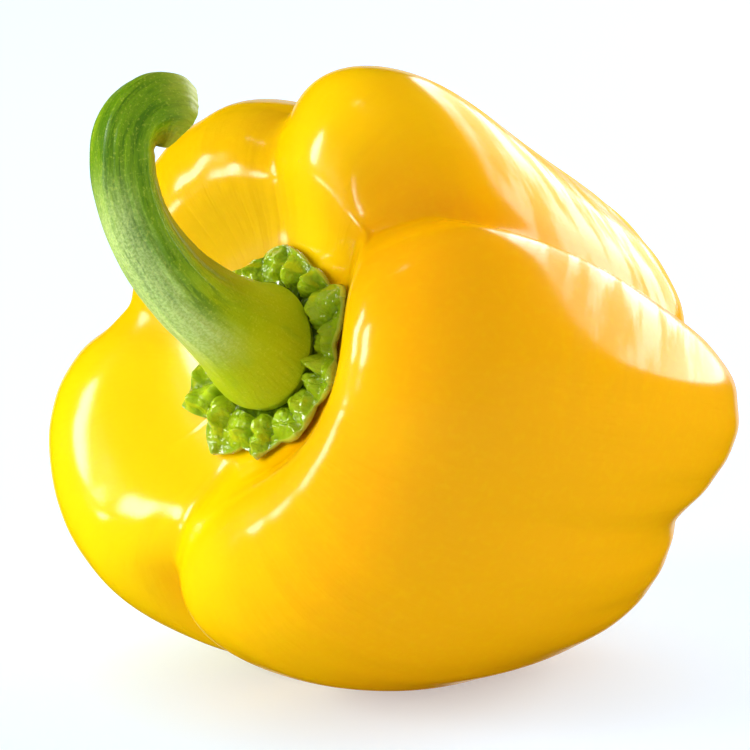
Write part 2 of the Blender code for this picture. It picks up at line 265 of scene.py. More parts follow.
# Shader maths


class Reading:
    """One output of a shader node, with ordinary arithmetic on numbers."""

    def __init__(self, shader: "Shader", socket: bpy.types.NodeSocket) -> None:
        """Wrap a socket of one of the shader's nodes."""
        self.shader = shader
        self.socket = socket

    def maths(self, operation: str, *terms: Any) -> "Reading":
        """Return what a Math node makes of its terms, which are readings or numbers."""
        return self.shader.node("ShaderNodeMath", {"operation": operation}, dict(enumerate(terms)))

    def __add__(self, other: Any) -> "Reading":
        """Return the sum."""
        return self.maths("ADD", self, other)

    __radd__ = __add__

    def __mul__(self, other: Any) -> "Reading":
        """Return the product."""
        return self.maths("MULTIPLY", self, other)

    __rmul__ = __mul__

    def __sub__(self, other: Any) -> "Reading":
        """Return this less the other."""
        return self.maths("SUBTRACT", self, other)

    def __rsub__(self, other: Any) -> "Reading":
        """Return the other less this."""
        return self.maths("SUBTRACT", other, self)

    def rise(self, low: float, high: float) -> "Reading":
        """Return 0 below low, 1 above high and a smooth rise between them."""
        settings = {"interpolation_type": "SMOOTHSTEP"}
        return self.shader.node("ShaderNodeMapRange", settings, {0: self, 1: low, 2: high, 3: 0.0, 4: 1.0})


class Shader:
    """A Principled material while its colours and bumps are laid one over another."""

    def __init__(self, name: str, base: Colour) -> None:
        """Start a material with one Principled shader.

        Args:
            name: The material's name.
            base: The colour that the others are laid over.
        """
        self.material = bpy.data.materials.new(name)
        self.material.use_nodes = True
        self.tree = self.material.node_tree
        self.surface = self.tree.nodes["Principled BSDF"]
        self.colour: Any = base
        self.normal: Reading | None = None

    def plug(self, socket: bpy.types.NodeSocket, value: Any) -> None:
        """Link a reading to a socket, or set the socket to a value.

        Args:
            socket: The input socket.
            value: A reading, a number or a row of numbers.
        """
        if isinstance(value, Reading):
            self.tree.links.new(value.socket, socket)
        else:
            socket.default_value = value

    def node(self, kind: str, settings: dict[str, Any], inputs: dict[Any, Any], output: int = 0) -> Reading:
        """Add a node of any type.

        Args:
            kind: The node's type.
            settings: Its settings, set before its inputs.
            inputs: Values or readings by the input's name or place.
            output: Which output to return.

        Returns:
            That output.
        """
        made = self.tree.nodes.new(kind)
        for setting, value in settings.items():
            setattr(made, setting, value)
        for place, value in inputs.items():
            self.plug(made.inputs[place], value)
        return Reading(self, made.outputs[output])

    def mark(self, name: str, vector: bool = False) -> Reading:
        """Return what the mesh keeps under a name: a number, or a row of three."""
        settings = {"attribute_name": name, "attribute_type": "GEOMETRY"}
        return self.node("ShaderNodeAttribute", settings, {}, 1 if vector else 2)

    def place(self) -> Reading:
        """Return the place on the object, in metres."""
        return self.node("ShaderNodeTexCoord", {}, {}, 3)

    def stretched(self, vector: Reading, scale: Point) -> Reading:
        """Return a place with each of its numbers scaled."""
        return self.node("ShaderNodeMapping", {"vector_type": "POINT"}, {"Vector": vector, "Scale": scale})

    def cloud(self, vector: Reading, scale: float, detail: float = 2.0, rough: float = 0.5) -> Reading:
        """Return soft random blotches from 0 to 1, with finer layers by their number and strength."""
        inputs = {"Vector": vector, "Scale": scale, "Detail": detail, "Roughness": rough}
        return self.node("ShaderNodeTexNoise", {}, inputs)

    def cells(self, vector: Reading, scale: float) -> Reading:
        """Return the distance to the nearest of many scattered points."""
        return self.node("ShaderNodeTexVoronoi", {}, {"Vector": vector, "Scale": scale})

    def lay(self, share: Any, colour: Colour) -> None:
        """Lay a colour over the ones before it, by a share from 0 to 1."""
        settings = {"data_type": "RGBA", "clamp_factor": True}
        self.colour = self.node("ShaderNodeMix", settings, {0: share, 6: self.colour, 7: colour}, 2)

    def bump(self, height: Reading, distance: float, strength: float = 1.0) -> None:
        """Lay a bump over the ones before it.

        Args:
            height: The height, about 0 to 1.
            distance: How far 1 stands out, in metres.
            strength: How much of it shows.
        """
        inputs = {"Height": height, "Distance": distance, "Strength": strength}
        if self.normal is not None:
            inputs["Normal"] = self.normal
        self.normal = self.node("ShaderNodeBump", {}, inputs)

    def finish(self, inputs: dict[str, Any]) -> bpy.types.Material:
        """Set the Principled shader's sockets, with the colour and the bumps laid so far.

        Args:
            inputs: Values or readings of the other sockets, by name.

        Returns:
            The finished material.
        """
        inputs = {"Base Color": self.colour, "Specular IOR Level": 0.0, **inputs}
        if self.normal is not None:
            inputs["Normal"] = self.normal
        for name, value in inputs.items():
            self.plug(self.surface.inputs[name], value)
        return self.material


# Finishes


@dataclass(frozen=True)
class Finish:
    """What the pepper's finishes share: a clear coat over a body that light sinks into."""

    roughness: float = 0.30
    coat: float = 0.9
    coat_roughness: float = 0.15
    coat_index: float = 1.45
    sink: float = 0.22
    sink_colours: Point = (1.0, 0.45, 0.05)
    sink_depth: float = 0.004

    def finished(self, shader: Shader, uneven: Reading, gloss: Any = 1.0) -> bpy.types.Material:
        """Set the sockets of a shader whose colours and bumps are laid.

        Args:
            shader: The shader.
            uneven: What is added to the roughness from place to place.
            gloss: How much of the coat is left from place to place.

        Returns:
            The finished material.
        """
        return shader.finish({
            "Roughness": uneven + self.roughness,
            "Coat Weight": gloss * self.coat,
            "Coat Roughness": self.coat_roughness,
            "Coat IOR": self.coat_index,
            "Subsurface Weight": self.sink,
            "Subsurface Radius": self.sink_colours,
            "Subsurface Scale": self.sink_depth,
        })


@dataclass(frozen=True)
class SkinFinish(Finish):
    """Waxy yellow skin: lemon to orange in broad zones, the orange partly its own tone and partly painted
    shade, with painted shade laid in the grooves and on the far lobe.

    The gloss is worn into soft streaks on the upper tail half, and the tail has a corky scar.
    """

    lemon: Colour = (0.95, 0.60, 0.0, 1.0)
    # Laid towards the front and bottom: partly the skin's own tone, partly painted shade.
    orange: Colour = (0.93, 0.40, 0.0, 1.0)
    # Painted shade: a deeper orange laid in the grooves.
    groove: Colour = (0.90, 0.40, 0.0, 1.0)
    # Painted shade: a deeper colour laid on the far lobe, where shade falls.
    far: Colour = (0.70, 0.38, 0.0, 1.0)
    scar: Colour = (0.30, 0.17, 0.05, 1.0)
    wear: float = 0.7

    def material(self) -> bpy.types.Material:
        """Lay the skin's colours and bumps.

        Returns:
            The finished material.
        """
        shader = Shader("pepper_skin", self.lemon)
        place = shader.place()
        grown = shader.mark("grown", vector=True)
        tail = shader.mark("tail_distance")
        drift = shader.cloud(place, 28.0, 3.0)
        # Orange towards the front, partly the skin's own tone and partly painted shade, with random drift
        # and more lemon near the stem.
        tone_and_shade = shader.mark("front") * 0.95 + (drift - 0.5) * 0.9 - tail.rise(90.0, 130.0) * 0.30
        shader.lay(tone_and_shade.rise(0.15, 0.80), self.orange)
        # Painted shade in the grooves, by their depth.
        shader.lay(shader.mark("groove").rise(0.25, 1.0) * 0.5, self.groove)
        # Painted shade laid on the far lobe.
        shader.lay(shader.mark("far").rise(0.76, 0.96) * 0.75, self.far)
        grain = shader.cloud(place, 900.0, 2.0)
        shader.lay((grain - 0.45).rise(0.0, 0.3) * 0.10, self.lemon)
        cork = 1.0 - (tail + (shader.cloud(place, 700.0, 3.0) - 0.5) * 3.0).rise(0.8, 2.6)
        shader.lay(cork, self.scar)
        ripple = shader.cloud(shader.stretched(grown, (0.42, 0.42, 0.05)), 1.0, 3.0, 0.5)
        shader.bump(ripple * (1.0 - tail.rise(105.0, 130.0) * 0.9), 0.0005, 0.5)
        shader.bump(shader.cloud(place, 330.0, 1.0), 0.00010)
        shader.bump(shader.cloud(place, 2000.0, 2.0), 0.00004, 0.6)
        streak = shader.cloud(shader.stretched(grown, (0.06, 0.06, 0.20)), 1.0, 4.0, 0.6)
        height = shader.node("ShaderNodeSeparateXYZ", {}, {0: place}, 2)
        back = (1.0 - tail.rise(85.0, 112.0)) * height.rise(0.040, 0.056)
        gloss = (1.0 - cork) * (1.0 - back * (1.0 - streak.rise(0.42, 0.60)) * self.wear)
        return self.finished(shader, (drift - 0.5) * 0.12 + cork * 0.4, gloss)


@dataclass(frozen=True)
class CalyxFinish(Finish):
    """Glossy crinkled leaf: bright green folds, creases darkened with painted shade, and a thin pale rim."""

    crest: Colour = (0.44, 0.60, 0.014, 1.0)
    fold: Colour = (0.25, 0.38, 0.004, 1.0)
    # Painted shade: the darkest green, left in the creases between the folds.
    crease: Colour = (0.10, 0.18, 0.001, 1.0)
    ripe: Colour = (0.42, 0.48, 0.006, 1.0)
    rim: Colour = (0.55, 0.60, 0.08, 1.0)
    roughness: float = 0.34
    coat_index: float = 1.8
    sink: float = 0.15
    sink_colours: Point = (0.5, 1.0, 0.1)
    sink_depth: float = 0.0015

    def material(self) -> bpy.types.Material:
        """Lay the calyx's colours and bumps.

        Returns:
            The finished material.
        """
        shader = Shader("calyx_leaf", self.crease)
        place = shader.place()
        fold = shader.mark("fold")
        blotch = shader.cloud(place, 420.0, 3.0) - 0.5
        # The crease colour stays in the creases as painted shade.
        shader.lay(fold.rise(0.0, 0.35), self.fold)
        shader.lay((fold + blotch * 0.9).rise(0.45, 1.0) * 0.85, self.crest)
        shader.lay(shader.cloud(place, 120.0, 2.0).rise(0.45, 0.7) * 0.5, self.ripe)
        shader.lay((shader.mark("reach") + blotch * 0.06).rise(0.965, 1.0) * 0.4, self.rim)
        shader.bump(shader.cloud(place, 900.0, 3.0, 0.6), 0.0006, 0.8)
        shader.bump(shader.cells(place, 700.0), 0.0003, 0.5)
        return self.finished(shader, blotch * 0.2)


@dataclass(frozen=True)
class StemFinish(Finish):
    """Firm green stem: broken dark stripes, a painted pale sheen outside the bend, olive inside the bend, a
    speckled foot.
    """

    green: Colour = (0.14, 0.265, 0.001, 1.0)
    dark: Colour = (0.07, 0.17, 0.001, 1.0)
    light: Colour = (0.29, 0.43, 0.006, 1.0)
    foot: Colour = (0.36, 0.47, 0.002, 1.0)
    speck: Colour = (0.60, 0.66, 0.06, 1.0)
    # Painted sheen: a pale whitish green laid where gloss falls outside the bend.
    painted_sheen: Colour = (0.60, 0.72, 0.24, 1.0)
    bend: Colour = (0.28, 0.23, 0.003, 1.0)
    knob: Colour = (0.40, 0.40, 0.03, 1.0)
    cut: Colour = (0.30, 0.24, 0.06, 1.0)
    roughness: float = 0.46
    coat: float = 0.45
    coat_roughness: float = 0.32
    coat_index: float = 1.6
    sink: float = 0.12
    sink_colours: Point = (0.5, 1.0, 0.1)
    sink_depth: float = 0.002

    def material(self) -> bpy.types.Material:
        """Lay the stem's colours and bumps.

        Returns:
            The finished material.
        """
        shader = Shader("stem_skin", self.foot)
        place = shader.place()
        grown = shader.mark("grown", vector=True)
        height = shader.mark("height")
        lean = shader.mark("lean")
        cut = shader.mark("cut")
        stripe = shader.cloud(shader.stretched(grown, (0.5, 0.5, 0.12)), 1.0, 4.0, 0.6)
        thread = shader.cloud(shader.stretched(grown, (2.5, 2.5, 0.35)), 1.0, 2.0)
        blotch = shader.cloud(place, 160.0, 4.0, 0.6) - 0.5
        speckle = shader.cloud(place, 2600.0, 2.0, 0.6)
        uneven = stripe + (thread - 0.5) * 0.35
        shader.lay((height + blotch * 0.35).rise(0.12, 0.6), self.green)
        shader.lay(uneven.rise(0.52, 0.70) * 0.6, self.light)
        striped = height.rise(0.22, 0.5) * (1.0 - lean.rise(0.2, 0.8))
        shader.lay((1.0 - uneven.rise(0.36, 0.50)) * striped * 0.9, self.dark)
        # Painted sheen on the outside of the bend, broken by fine speckle.
        painted_sheen = (stripe * 0.8 - lean - 0.35).rise(0.35, 1.05) * height.rise(0.16, 0.36)
        painted_sheen = painted_sheen * (1.0 - height.rise(0.60, 0.78))
        shader.lay(painted_sheen * (speckle.rise(0.36, 0.62) * 0.4 + 0.4), self.painted_sheen)
        shader.lay(speckle.rise(0.54, 0.72) * 0.3, self.speck)
        bend = (lean + (thread - 0.5) * 0.7).rise(0.10, 0.70) * height.rise(0.18, 0.42)
        shader.lay(bend * 0.85, self.bend)
        shader.lay((height + blotch * 0.12).rise(0.90, 0.99) * 0.6, self.knob)
        shader.lay(cut, self.cut)
        shader.bump(thread, 0.0004, 0.6)
        shader.bump(speckle, 0.00015, 0.7)
        return self.finished(shader, (speckle - 0.5) * 0.2 + cut * 0.25)


@dataclass(frozen=True)
class FloorFinish:
    """Plain matt white with a faint glow, as of a table lit from below."""

    colour: Colour = (0.59, 0.73, 0.86, 1.0)
    glow: Colour = (0.78, 0.84, 1.0, 1.0)
    glow_strength: float = 0.41

    def material(self) -> bpy.types.Material:
        """Return the floor's material."""
        glow = {"Emission Color": self.glow, "Emission Strength": self.glow_strength}
        return Shader("studio_floor", self.colour).finish({"Roughness": 1.0, **glow})


# The fruit


class Lobe(NamedTuple):
    """One lobe: its crest's angle at each end, its reach at five places, and three shifts along the axis."""

    stem_angle: float
    tail_angle: float
    foot: float
    rim: float
    shoulder: float
    belly: float
    tail: float
    rise: float
    brow: float
    drop: float


class Groove(NamedTuple):
    """One groove: its angle at three places, its depth at four, and how far it fades on either side."""

    angle_rim: float
    angle_shoulder: float
    angle_tail: float
    rim: float
    shoulder: float
    belly: float
    tail: float
    before: float
    after: float


@dataclass(frozen=True)
class Fruit:
    """The fruit: a mean outline turned round the axis, pushed out by five lobes and in by five grooves."""

    lie: Lie
    finish: SkinFinish
    outline: tuple[tuple[float, float], ...] = (
        (0.0, 27.0), (6.0, 27.0), (12.0, 27.5), (17.0, 30.0), (23.0, 33.5),
        (31.0, 33.0), (38.5, 26.0), (43.0, 13.0), (43.5, -2.0), (41.0, -17.0),
        (37.0, -31.0), (28.0, -42.0), (14.0, -42.0), (5.0, -34.0), (0.0, -33.0),
    )
    lobes: tuple[Lobe, ...] = (
        Lobe(14.0, -4.0, 1.08, 0.96, 1.05, 1.02, 1.03, 7.5, 1.5, 4.8),
        Lobe(73.0, 62.0, 0.98, 0.96, 1.135, 0.84, 0.86, 3.0, 0.5, 4.0),
        Lobe(126.0, 126.0, 0.98, 0.98, 1.04, 0.93, 0.88, 1.5, 1.2, 0.0),
        Lobe(220.0, 225.0, 1.04, 1.06, 1.085, 1.165, 1.01, -0.6, 4.2, 0.0),
        Lobe(296.0, 304.0, 0.90, 0.80, 0.96, 0.995, 1.02, 3.8, 2.6, 4.0),
    )
    grooves: tuple[Groove, ...] = (
        Groove(49.0, 44.0, 20.0, 6.0, 10.0, 7.0, 7.0, 5.0, 14.0),
        Groove(92.0, 101.0, 118.0, 4.0, 7.5, 4.0, 6.0, 6.0, 9.0),
        Groove(172.0, 171.0, 178.0, 7.0, 16.0, 10.0, 7.0, 13.0, 9.5),
        Groove(258.0, 251.0, 273.0, 4.0, 8.5, 4.5, 11.0, 6.0, 6.0),
        Groove(341.0, 341.0, 336.0, 0.0, 1.5, 2.0, 8.0, 11.0, 11.0),
    )
    shifts: tuple[tuple[str, float, tuple[float, ...], tuple[float, ...]], ...] = (
        ("rise", 1.0, (2, 3, 4, 6, 8), (0.0, 0.15, 1.0, 0.6, 0.0)),
        ("brow", 1.0, (4, 5, 6, 7, 8), (0.0, 0.5, 1.0, 0.35, 0.0)),
        ("drop", -1.0, (8, 11, 12, 14), (0.0, 1.0, 1.0, 0.0)),
    )
    stations: tuple[float, ...] = (2.0, 3.0, 4.0, 6.0, 8.5, 11.0)
    groove_turns: Point = (3.0, 6.0, 11.5)
    groove_ends: tuple[float, float] = (1.6, 14.0)
    groove_rounding: float = 1.6
    span_faces: int = 40
    span_easing: float = 1.3
    even_angles: int = 1440
    rings: int = 236
    wave_height: float = 0.10
    wave_length: float = 7.0
    mean_radius: float = 40.0
    front_tone_and_shade_angle: float = -20.0
    far_shade_angle: float = 134.0

    def between_lobes(self, angle: Array, crests: Array, values: list[float]) -> Array:
        """Blend one number per lobe round the axis, flat on each crest.

        Args:
            angle: Angles to read.
            crests: The crests' angles.
            values: One number per lobe.

        Returns:
            The blended numbers.
        """
        order = np.argsort(np.mod(crests, FULL_TURN))
        turned_crests = np.mod(crests, FULL_TURN)[order]
        held = np.asarray(values, float)[order]
        turned_crests = np.concatenate([turned_crests, turned_crests[:1] + FULL_TURN])
        held = np.concatenate([held, held[:1]])
        turned = turned_crests[0] + np.mod(angle - turned_crests[0], FULL_TURN)
        lobe = np.clip(np.searchsorted(turned_crests, turned, side="right") - 1, 0, len(self.lobes) - 1)
        share = smooth_step(turned, turned_crests[lobe], turned_crests[lobe + 1])
        return held[lobe] * (1 - share) + held[lobe + 1] * share

    def crest_angle(self, lobe: Lobe, count: Array | float) -> Array:
        """Return the angle of a lobe's crest in radians, at places counted in the outline's points."""
        rim = self.stations[2]
        return np.radians(np.interp(count, (rim, rim + 8.0), (lobe.stem_angle, lobe.tail_angle)))

    def groove_angle(self, groove: Groove, place: Array) -> Array:
        """Return the angle of a groove in radians, at places from 0 to 1."""
        at_points = np.interp(np.arange(len(self.outline)), self.groove_turns, groove[:3])
        return np.radians(smooth_number(at_points, place))

    def lobed_outline(self, angle: Array) -> Array:
        """Return the outline's control points for each angle, pushed out or in by the lobes.

        Args:
            angle: Angles round the axis, in radians.

        Returns:
            Control points by angle, as distance from the axis and place along it.
        """
        control = np.zeros((len(angle), len(self.outline), 2))
        for count, (radius, height) in enumerate(self.outline):
            crests = np.array([self.crest_angle(lobe, count) for lobe in self.lobes])
            reach = np.interp(count, self.stations[:2], (1.0, 0.0))
            for stage, name in enumerate(("foot", "rim", "shoulder", "belly", "tail"), start=1):
                share = np.interp(count, self.stations, np.eye(6)[stage])
                reaches = [getattr(lobe, name) for lobe in self.lobes]
                reach = reach + share * self.between_lobes(angle, crests, reaches)
            for name, way, counts, shares in self.shifts:
                moves = [getattr(lobe, name) for lobe in self.lobes]
                share = way * np.interp(count, counts, shares)
                height = height + share * self.between_lobes(angle, crests, moves)
            control[:, count, 0] = radius * reach
            control[:, count, 1] = height
        return control

    def groove_depth(self, angle: Array, place: Array, radius: Array) -> Array:
        """Return how deep the grooves press in: depth · exp(−rounded distance / breadth), summed.

        Args:
            angle: Angles round the axis.
            place: Places along the outline, from 0 to 1.
            radius: Distance from the axis by angle and place.

        Returns:
            Depths by angle and place.
        """
        counts = np.arange(len(self.outline))
        start, end = self.groove_ends
        sink = np.zeros_like(radius)
        for groove in self.grooves:
            depths = (0.0, *groove[3:7], 0.0)
            depth = smooth_number(np.interp(counts, (start, *self.stations[2:], end), depths), place)
            turn = turned_on(angle[:, None], self.groove_angle(groove, place))
            away = np.hypot(turn * np.maximum(radius, 1.0), self.groove_rounding) - self.groove_rounding
            sink += depth * np.exp(-away / np.where(turn < 0, groove.before, groove.after))
        return sink

    def surface(self, angle: Array, place: Array) -> tuple[Array, Array]:
        """Return the skin's points: the lobed outline, moved inward square to itself by the grooves' depth.

        Args:
            angle: Angles round the axis, in radians.
            place: Places along the outline, from the stem to the tail.

        Returns:
            Points by angle and place in the pepper's frame, and the grooves' depth there.
        """
        profile = smooth_curve(self.lobed_outline(angle), place)
        step = np.gradient(profile, axis=1)
        outward = unit(np.stack([-step[..., 1], step[..., 0]], axis=-1))
        sink = self.groove_depth(angle, place, profile[..., 0])
        profile = profile - outward * sink[..., None]
        return cylinder(profile[..., 0], angle[:, None], profile[..., 1]), sink

    def column_angles(self, place: Array) -> Array:
        """Return the angles of the columns of points, which run along every crest and every groove.

        Args:
            place: Places along the outline, from the stem to the tail.

        Returns:
            Angles in radians by column and place, closer together towards the grooves.
        """
        lines = []
        for lobe, groove in zip(self.lobes, self.grooves):
            crest = self.crest_angle(lobe, place * (len(self.outline) - 1))
            lines += [crest, self.groove_angle(groove, place)]
        lines = np.unwrap(np.array(lines + lines[:1]), axis=0)
        step = np.arange(self.span_faces)[:, None] / self.span_faces
        columns = []
        for side in range(0, len(lines) - 1, 2):
            crest, groove, next_crest = lines[side : side + 3]
            columns += [groove + (crest - groove) * (1 - step) ** self.span_easing]
            columns += [groove + (next_crest - groove) * step**self.span_easing]
        return np.concatenate(columns)

    def columns(self, place: Array) -> tuple[Array, Array, Array]:
        """Return the skin read along its columns, between the two nearest of many even angles.

        Args:
            place: Places along the outline, from the stem to the tail.

        Returns:
            Points, the grooves' depth and the angles, by column and place.
        """
        skin, sink = self.surface(np.linspace(0.0, FULL_TURN, self.even_angles, endpoint=False), place)
        turn = self.column_angles(place)
        reading = np.mod(turn, FULL_TURN) / FULL_TURN * self.even_angles
        near = reading.astype(int) % self.even_angles
        far, share, row = (near + 1) % self.even_angles, reading - np.floor(reading), np.arange(len(place))
        points = skin[near, row] * (1 - share[..., None]) + skin[far, row] * share[..., None]
        return points, sink[near, row] * (1 - share) + sink[far, row] * share, turn

    def build(self) -> bpy.types.Object:
        """Make the fruit's finer form: the skin with faint waves that run lengthwise.

        Returns:
            The dressed fruit.
        """
        skin, sink, turn = self.columns(np.linspace(0.0, 1.0, self.rings + 2))
        walked = np.cumsum(np.linalg.norm(np.diff(skin, axis=1, prepend=skin[:, :1]), axis=-1), axis=1)
        grown = cylinder(self.mean_radius, turn, walked)
        radius = np.hypot(skin[..., 0], skin[..., 1])
        wave = soft_relief(grown * np.array([1.0, 1.0, 0.15]), self.wave_length, 11)
        skin = skin + unit(skin) * (self.wave_height * wave * smooth_step(radius, 20.0, 34.0))[..., None]
        marks = {
            "grown": grown,
            # The grooves' depth, which also sets the painted shade in them.
            "groove": sink / 10.0,
            # Where the orange is laid: partly the skin's own tone, partly painted shade.
            "front": 0.5 + 0.5 * np.cos(turn - math.radians(self.front_tone_and_shade_angle)),
            # Where the far lobe's painted shade is laid.
            "far": 0.5 + 0.5 * np.cos(turn - math.radians(self.far_shade_angle)),
            "tail_distance": walked[:, -1:] - walked,
        }
        marks = {mark: np.swapaxes(values[:, 1:-1], 0, 1) for mark, values in marks.items()}
        rings = skin[:, 1:-1].transpose(1, 0, 2)
        piece = closed_piece("pepper_fruit", skin[0, 0], rings, skin[0, -1], self.lie, marks)
        dress(piece, self.finish.material(), "fruit")
        return piece


# The calyx


class Tooth(NamedTuple):
    """One pointed tooth of the calyx: its angle and how far out its tip is."""

    angle: float
    radius: float


@dataclass(frozen=True)
class Calyx:
    """The calyx: a leafy collar of pillow folds that follows the dimple, with pointed teeth."""

    fruit: Fruit
    finish: CalyxFinish
    centre: tuple[float, float] = (1.8, 1.4)
    seat_radius: float = 9.85
    seat_height: float = 28.4
    seat_underside: float = 27.4
    seat_inset: float = 0.8
    notch: float = 13.0
    tooth_width: float = 20.0
    teeth: tuple[Tooth, ...] = (
        Tooth(32.0, 18.5), Tooth(95.0, 14.6), Tooth(150.0, 14.4), Tooth(216.0, 16.6),
        Tooth(246.0, 17.0), Tooth(277.0, 15.2), Tooth(312.0, 15.5), Tooth(350.0, 16.5),
    )
    gap: float = 0.45
    rim_lift: float = 0.35
    scallop: float = 0.5
    folds: int = 18
    fold_height: float = 2.0
    leaf_thickness: float = 1.1
    rim_thickness: float = 0.25
    inward_bulge: float = 1.2
    rib_height: float = 0.35
    rib_width: float = 0.9
    dent_height: float = 0.34
    row_easing: float = 1.15
    least_thickness: float = 0.2
    table_radius: float = 27.0
    table_end: float = 0.42
    ray_length: float = 24.0
    slope_window: int = 17
    sides: int = 720
    rows: int = 72
    under_rows: int = 12

    def edge(self, angle: Array) -> Array:
        """Return the calyx's radius: an even edge with pointed teeth.

        Args:
            angle: Angles round the middle, in radians.

        Returns:
            One radius for each angle.
        """
        edge = np.full_like(angle, self.notch)
        for tooth in self.teeth:
            away = np.abs(turned_on(angle, math.radians(tooth.angle))) / math.radians(self.tooth_width)
            edge = np.maximum(edge, self.notch + (tooth.radius - self.notch) * np.clip(1 - away, 0.0, 1.0))
        return edge

    def around(self, angle: Array, radius: Array | float, height: Array | float) -> Array:
        """Return points at angles round the calyx's middle, distances from it and heights."""
        return cylinder(radius, angle, height) + np.array([*self.centre, 0.0])

    def skin_height(self, points: Array) -> Array:
        """Return the height of the fruit's skin near the stem, from a table for each degree and radius.

        Args:
            points: Points whose places across and up are read.

        Returns:
            Heights along the axis, read between the table's four nearest values.
        """
        radii = np.linspace(0.0, self.table_radius, 136)
        angles = np.linspace(0.0, FULL_TURN, 360, endpoint=False)
        skin, _ = self.fruit.surface(angles, np.linspace(0.0, self.table_end, 240))
        radius = np.maximum.accumulate(np.hypot(skin[..., 0], skin[..., 1]), axis=1)
        table = np.array([np.interp(radii, radius[row], skin[row, :, 2]) for row in range(len(angles))])
        across, up = points[..., 0], points[..., 1]
        turn = np.mod(np.arctan2(up, across), FULL_TURN) / FULL_TURN * len(table)
        reading = np.clip(np.hypot(across, up) / radii[1], 0.0, len(radii) - 1.001)
        row, column = turn.astype(int) % len(table), reading.astype(int)
        after = (row + 1) % len(table)
        f, g = turn - np.floor(turn), reading - column
        near = table[row, column] * (1 - g) + table[row, column + 1] * g
        far = table[after, column] * (1 - g) + table[after, column + 1] * g
        return near * (1 - f) + far * f

    def rays(self, angle: Array, reach: Array) -> Array:
        """Follow the skin outward from the calyx's middle.

        Args:
            angle: Angles round the middle, in radians.
            reach: Distances walked along the skin, by row and angle.

        Returns:
            The flat radius, the height along the axis and the slope, by row and angle.
        """
        radius = np.linspace(0.0, self.ray_length, 241)
        height = self.skin_height(self.around(angle[:, None], radius, 0.0))
        slope = np.gradient(height, radius, axis=1)
        walked = np.cumsum(np.hypot(1.0, slope), axis=1) * radius[1]
        window = np.ones(self.slope_window) / self.slope_window
        found = []
        for ray in range(len(angle)):
            even = np.convolve(np.pad(slope[ray], self.slope_window // 2, mode="edge"), window, mode="valid")
            found.append([np.interp(reach[:, ray], walked[ray], row) for row in (radius, height[ray], even)])
        return np.array(found).transpose(1, 2, 0)

    def raised(self, angle: Array, rays: Array, height: Array, inward: Array | float = 0.0) -> Array:
        """Return points raised off the skin by a height, square to it, and drawn inward.

        Args:
            angle: Angles round the middle, in radians.
            rays: Flat radius, height and slope by row and angle.
            height: How far to raise them.
            inward: How far to draw them towards the middle.

        Returns:
            Points in the pepper's frame.
        """
        radius, skin, slope = rays
        length = np.hypot(1.0, slope)
        out = radius - height * slope / length - inward
        return self.around(angle, out, skin + height / length)

    def fold_shape(self, angle: Array, share: Array) -> Array:
        """Return the folds from 0 in a crease to about 1 on a crest.

        Height = (0.25 + 0.75 · |cos(half the folds · angle)|^(0.6 + 0.5 · share)) · a random size, and the
        angle wanders.

        Args:
            angle: Angles round the middle, in radians.
            share: How far out, from 0 at the seat to 1 at the rim.

        Returns:
            The folds by row and angle.
        """
        wander = 0.6 * np.sin(3 * angle + 0.8) + 0.5 * np.sin(5 * angle + 1.6 * share)
        wander = wander + 0.3 * share * np.sin(9 * angle + 1.0)
        turn = 0.5 * self.folds * angle + wander
        size = np.random.default_rng(31).uniform(0.75, 1.15, self.folds)
        fold = np.floor(turn / math.pi + 0.5).astype(int) % self.folds
        return (0.25 + 0.75 * np.abs(np.cos(turn)) ** (0.6 + 0.5 * share)) * size[fold]

    def build(self) -> bpy.types.Object:
        """Make the calyx: pillow folds that swell near the stem and flatten to a thin, lifted rim.

        Height above the skin = gap + lift + thickness + fold · swell · unevenness + tooth ribs + crinkles.

        Returns:
            The dressed calyx.
        """
        angle = np.linspace(0.0, FULL_TURN, self.sides, endpoint=False)
        rows = np.linspace(0.0, 1.0, self.rows) ** self.row_easing
        share = np.broadcast_to(rows[:, None], (self.rows, self.sides))
        scallop = self.scallop * (self.fold_shape(angle, np.ones(self.sides)) - 0.6)
        reach = self.seat_radius + (self.edge(angle) + scallop - self.seat_radius) * share
        rays = self.rays(angle, reach)
        under = self.gap + self.rim_lift * share
        fold = self.fold_shape(angle, share)
        at = self.raised(angle, rays, under)
        swell = (0.35 + 0.65 * smooth_step(share, 0.0, 0.16)) * (1 - 0.66 * smooth_step(share, 0.4, 1.0))
        uneven = 1.0 + 0.22 * soft_relief(at, 5.0, 3) + 0.16 * np.sin(9.0 * share + 3.0 * np.sin(4 * angle))
        rib = np.zeros_like(share)
        for tooth in self.teeth:
            away = turned_on(angle, math.radians(tooth.angle)) * reach
            rib = rib + np.exp(-((away / self.rib_width) ** 2))
        dents = self.dent_height * soft_relief(at, 2.6, 5) * smooth_step(share, 0.05, 0.3)
        crinkle = dents + 0.14 * soft_relief(at, 1.2, 6) + 0.05 * soft_relief(at, 0.6, 7)
        thickness = self.leaf_thickness + (self.rim_thickness - self.leaf_thickness) * share**1.3
        over = under + thickness + self.fold_height * fold * swell * uneven
        over = over + self.rib_height * rib * smooth_step(share, 0.3, 0.8) + crinkle * (1 - share**6)
        over = np.maximum(over, under + self.least_thickness)
        inward = self.inward_bulge * fold * (1 - smooth_step(share, 0.0, 0.3))
        top = self.raised(angle, rays, over, inward)
        picked = np.linspace(self.rows - 1, 0, self.under_rows).round().astype(int)
        bottom = at[picked]
        inner, outer = 0.5 * self.seat_radius, self.seat_radius - self.seat_inset
        high, low = self.seat_height, self.seat_underside
        seat = [self.around(angle, *level) for level in ((inner, high), (outer, high), (inner, low))]
        rings = np.concatenate([seat[:2], top, bottom, seat[2:]])
        zeros = np.zeros((2, self.sides))
        flat = np.zeros((self.under_rows + 1, self.sides))
